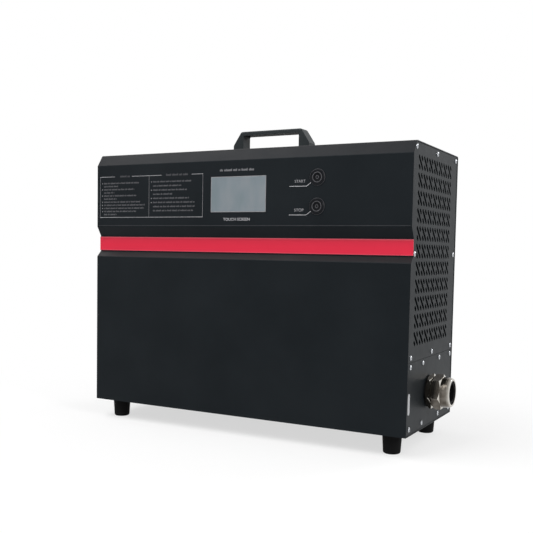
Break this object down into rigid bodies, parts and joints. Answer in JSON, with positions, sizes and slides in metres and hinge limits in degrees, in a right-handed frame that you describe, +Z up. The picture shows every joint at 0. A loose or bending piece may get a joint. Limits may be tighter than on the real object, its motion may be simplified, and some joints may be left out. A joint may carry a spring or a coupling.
{
  "type": "forklift battery charger",
  "caption": "Free-standing sheet-metal battery charger with slotted side covers, a touch screen, start and stop buttons, a red front stripe, cable glands, a top handle and rubber feet.",
  "frame": {"origin": "on the floor, below the middle of the cabinet", "axes": "+X towards the output gland's side, +Y towards the rear, +Z up"},
  "size_m": [0.6078, 0.2227, 0.474],
  "materials": {
    "powder_coat": "satin dark grey powder coat",
    "zinc_sheet": "zinc plated sheet",
    "red_strip": "satin red strip",
    "bright_screw": "bright zinc",
    "pale_label": "plain pale film",
    "handle_plastic": "fine-textured black",
    "foot_rubber": "matt black rubber",
    "plated_brass": "nickel plated",
    "screen_glass": "grey touch screen face",
    "module_can": "bare metal can",
    "circuit_board": "green solder mask",
    "button_bezel": "black anodised",
    "button_face": "dark satin",
    "black_plastic": "moulded black",
    "sink_aluminium": "mill finish extrusion",
    "ferrite": "dark grey ferrite",
    "winding": "varnished copper winding",
    "capacitor_sleeve": "dark blue sleeve",
    "copper_bar": "bare copper",
    "insulator": "moulded red-brown resin",
    "terminal_plastic": "pale polyamide"
  },
  "bodies": {
    "cabinet": {"outer_wrap": "powder_coat", "base_tray": "powder_coat", "accent_strip": "red_strip", "right_end_frame": "zinc_sheet", "left_end_frame": "zinc_sheet", "right_side_cover": "powder_coat", "left_side_cover": "powder_coat", "right_lower_plate": "powder_coat", "left_lower_plate": "powder_coat", "right_cover_screws": "bright_screw", "left_cover_screws": "bright_screw", "rear_screws": "bright_screw", "blank_label": "pale_label", "carry_handle": "handle_plastic", "handle_screws": "bright_screw", "foot_front_left": "foot_rubber", "foot_front_right": "foot_rubber", "foot_rear_left": "foot_rubber", "foot_rear_right": "foot_rubber", "foot_screws": "bright_screw", "output_gland_washer": "foot_rubber", "output_gland_body": "plated_brass", "output_gland_seal": "foot_rubber", "output_gland_nut": "plated_brass", "output_gland_locknut": "plated_brass", "inlet_gland_washer": "foot_rubber", "inlet_gland_body": "plated_brass", "inlet_gland_seal": "foot_rubber", "inlet_gland_nut": "plated_brass", "inlet_gland_locknut": "plated_brass", "touch_glass": "screen_glass", "lcd_module": "module_can", "control_board": "circuit_board", "board_standoffs": "bright_screw", "start_housing": "button_bezel", "start_contacts": "black_plastic", "stop_housing": "button_bezel", "stop_contacts": "black_plastic", "button_nuts": "bright_screw", "fan_bracket": "zinc_sheet", "upper_fan_frame": "black_plastic", "lower_fan_frame": "black_plastic", "fan_screws": "bright_screw", "power_deck": "zinc_sheet", "heat_sink": "sink_aluminium", "power_board": "circuit_board", "transformer_core": "ferrite", "transformer_winding": "winding", "bulk_capacitors": "capacitor_sleeve", "output_choke": "winding", "output_contactor": "black_plastic", "positive_busbar": "copper_bar", "negative_busbar": "copper_bar", "busbar_insulators": "insulator", "mains_filter": "module_can", "terminal_block": "terminal_plastic"},
    "start_cap": {"start_button": "button_face"},
    "stop_cap": {"stop_button": "button_face"},
    "upper_rotor": {"upper_fan_rotor": "black_plastic"},
    "lower_rotor": {"lower_fan_rotor": "black_plastic"}
  },
  "joints": [
    {"name": "start_press", "type": "slide", "parent": "cabinet", "child": "start_cap", "axis": [0, 1, 0], "range_m": [0, 0.0025], "stiffness_N_per_m": 800, "springref_m": -0.002},
    {"name": "stop_press", "type": "slide", "parent": "cabinet", "child": "stop_cap", "axis": [0, 1, 0], "range_m": [0, 0.0025], "stiffness_N_per_m": 800, "springref_m": -0.002},
    {"name": "upper_fan_spin", "type": "hinge", "parent": "cabinet", "child": "upper_rotor", "pos_m": [-0.199, 0.0045, 0.349], "axis": [1, 0, 0], "continuous": true},
    {"name": "lower_fan_spin", "type": "hinge", "parent": "cabinet", "child": "lower_rotor", "pos_m": [-0.199, 0.0045, 0.219], "axis": [1, 0, 0], "continuous": true}
  ]
}
